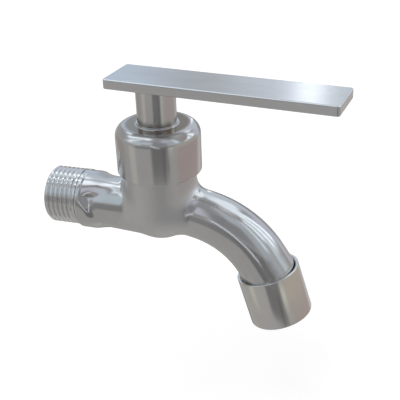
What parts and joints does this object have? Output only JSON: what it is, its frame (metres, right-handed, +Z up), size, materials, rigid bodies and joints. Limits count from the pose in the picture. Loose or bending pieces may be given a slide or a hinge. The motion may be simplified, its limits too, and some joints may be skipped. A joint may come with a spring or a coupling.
{
  "type": "mop sink tap",
  "caption": "Stainless mop sink tap: threaded wall inlet, valve chamber with bonnet, flat lever handle over the curved spout, and a screwed-on outlet sleeve.",
  "frame": {"origin": "centre of the inlet thread's end face", "axes": "+X runs along the inlet thread from its end towards the spout; +Z is up along the valve axis; +Y is to the left of +X seen from above"},
  "size_m": [0.109, 0.0306, 0.092],
  "materials": {
    "cast_steel": "cast stainless steel, brushed and polished to a satin sheen",
    "turned_steel": "turned stainless steel, fine rings from the lathe",
    "lever_steel": "flat stainless bar, finely brushed",
    "screw_steel": "plain stainless steel",
    "spring_steel": "dark spring steel",
    "valve_brass": "machined brass",
    "ceramic": "lapped alumina",
    "black_rubber": "matt black rubber",
    "white_plastic": "moulded white plastic",
    "screen_steel": "perforated stainless sheet"
  },
  "bodies": {
    "tap": {"tap_body": "cast_steel", "bonnet": "turned_steel", "guide_bush": "white_plastic", "cartridge_body": "valve_brass", "cartridge_gasket": "black_rubber", "seat_seal": "black_rubber", "fixed_disc": "ceramic", "outlet_sleeve": "turned_steel", "outlet_washer": "black_rubber", "aerator_housing": "white_plastic", "flow_insert": "white_plastic", "filter_screen": "screen_steel"},
    "handle": {"lever": "lever_steel", "handle_post": "turned_steel", "grub_screw": "screw_steel", "spindle": "valve_brass", "spindle_rings": "black_rubber", "circlip": "spring_steel", "slip_washer": "white_plastic", "moving_disc": "ceramic"}
  },
  "joints": [
    {"name": "lever_turn", "type": "hinge", "parent": "tap", "child": "handle", "pos_m": [0.043, 0, 0], "axis": [0, 0, 1], "range_deg": [0, 90]}
  ]
}
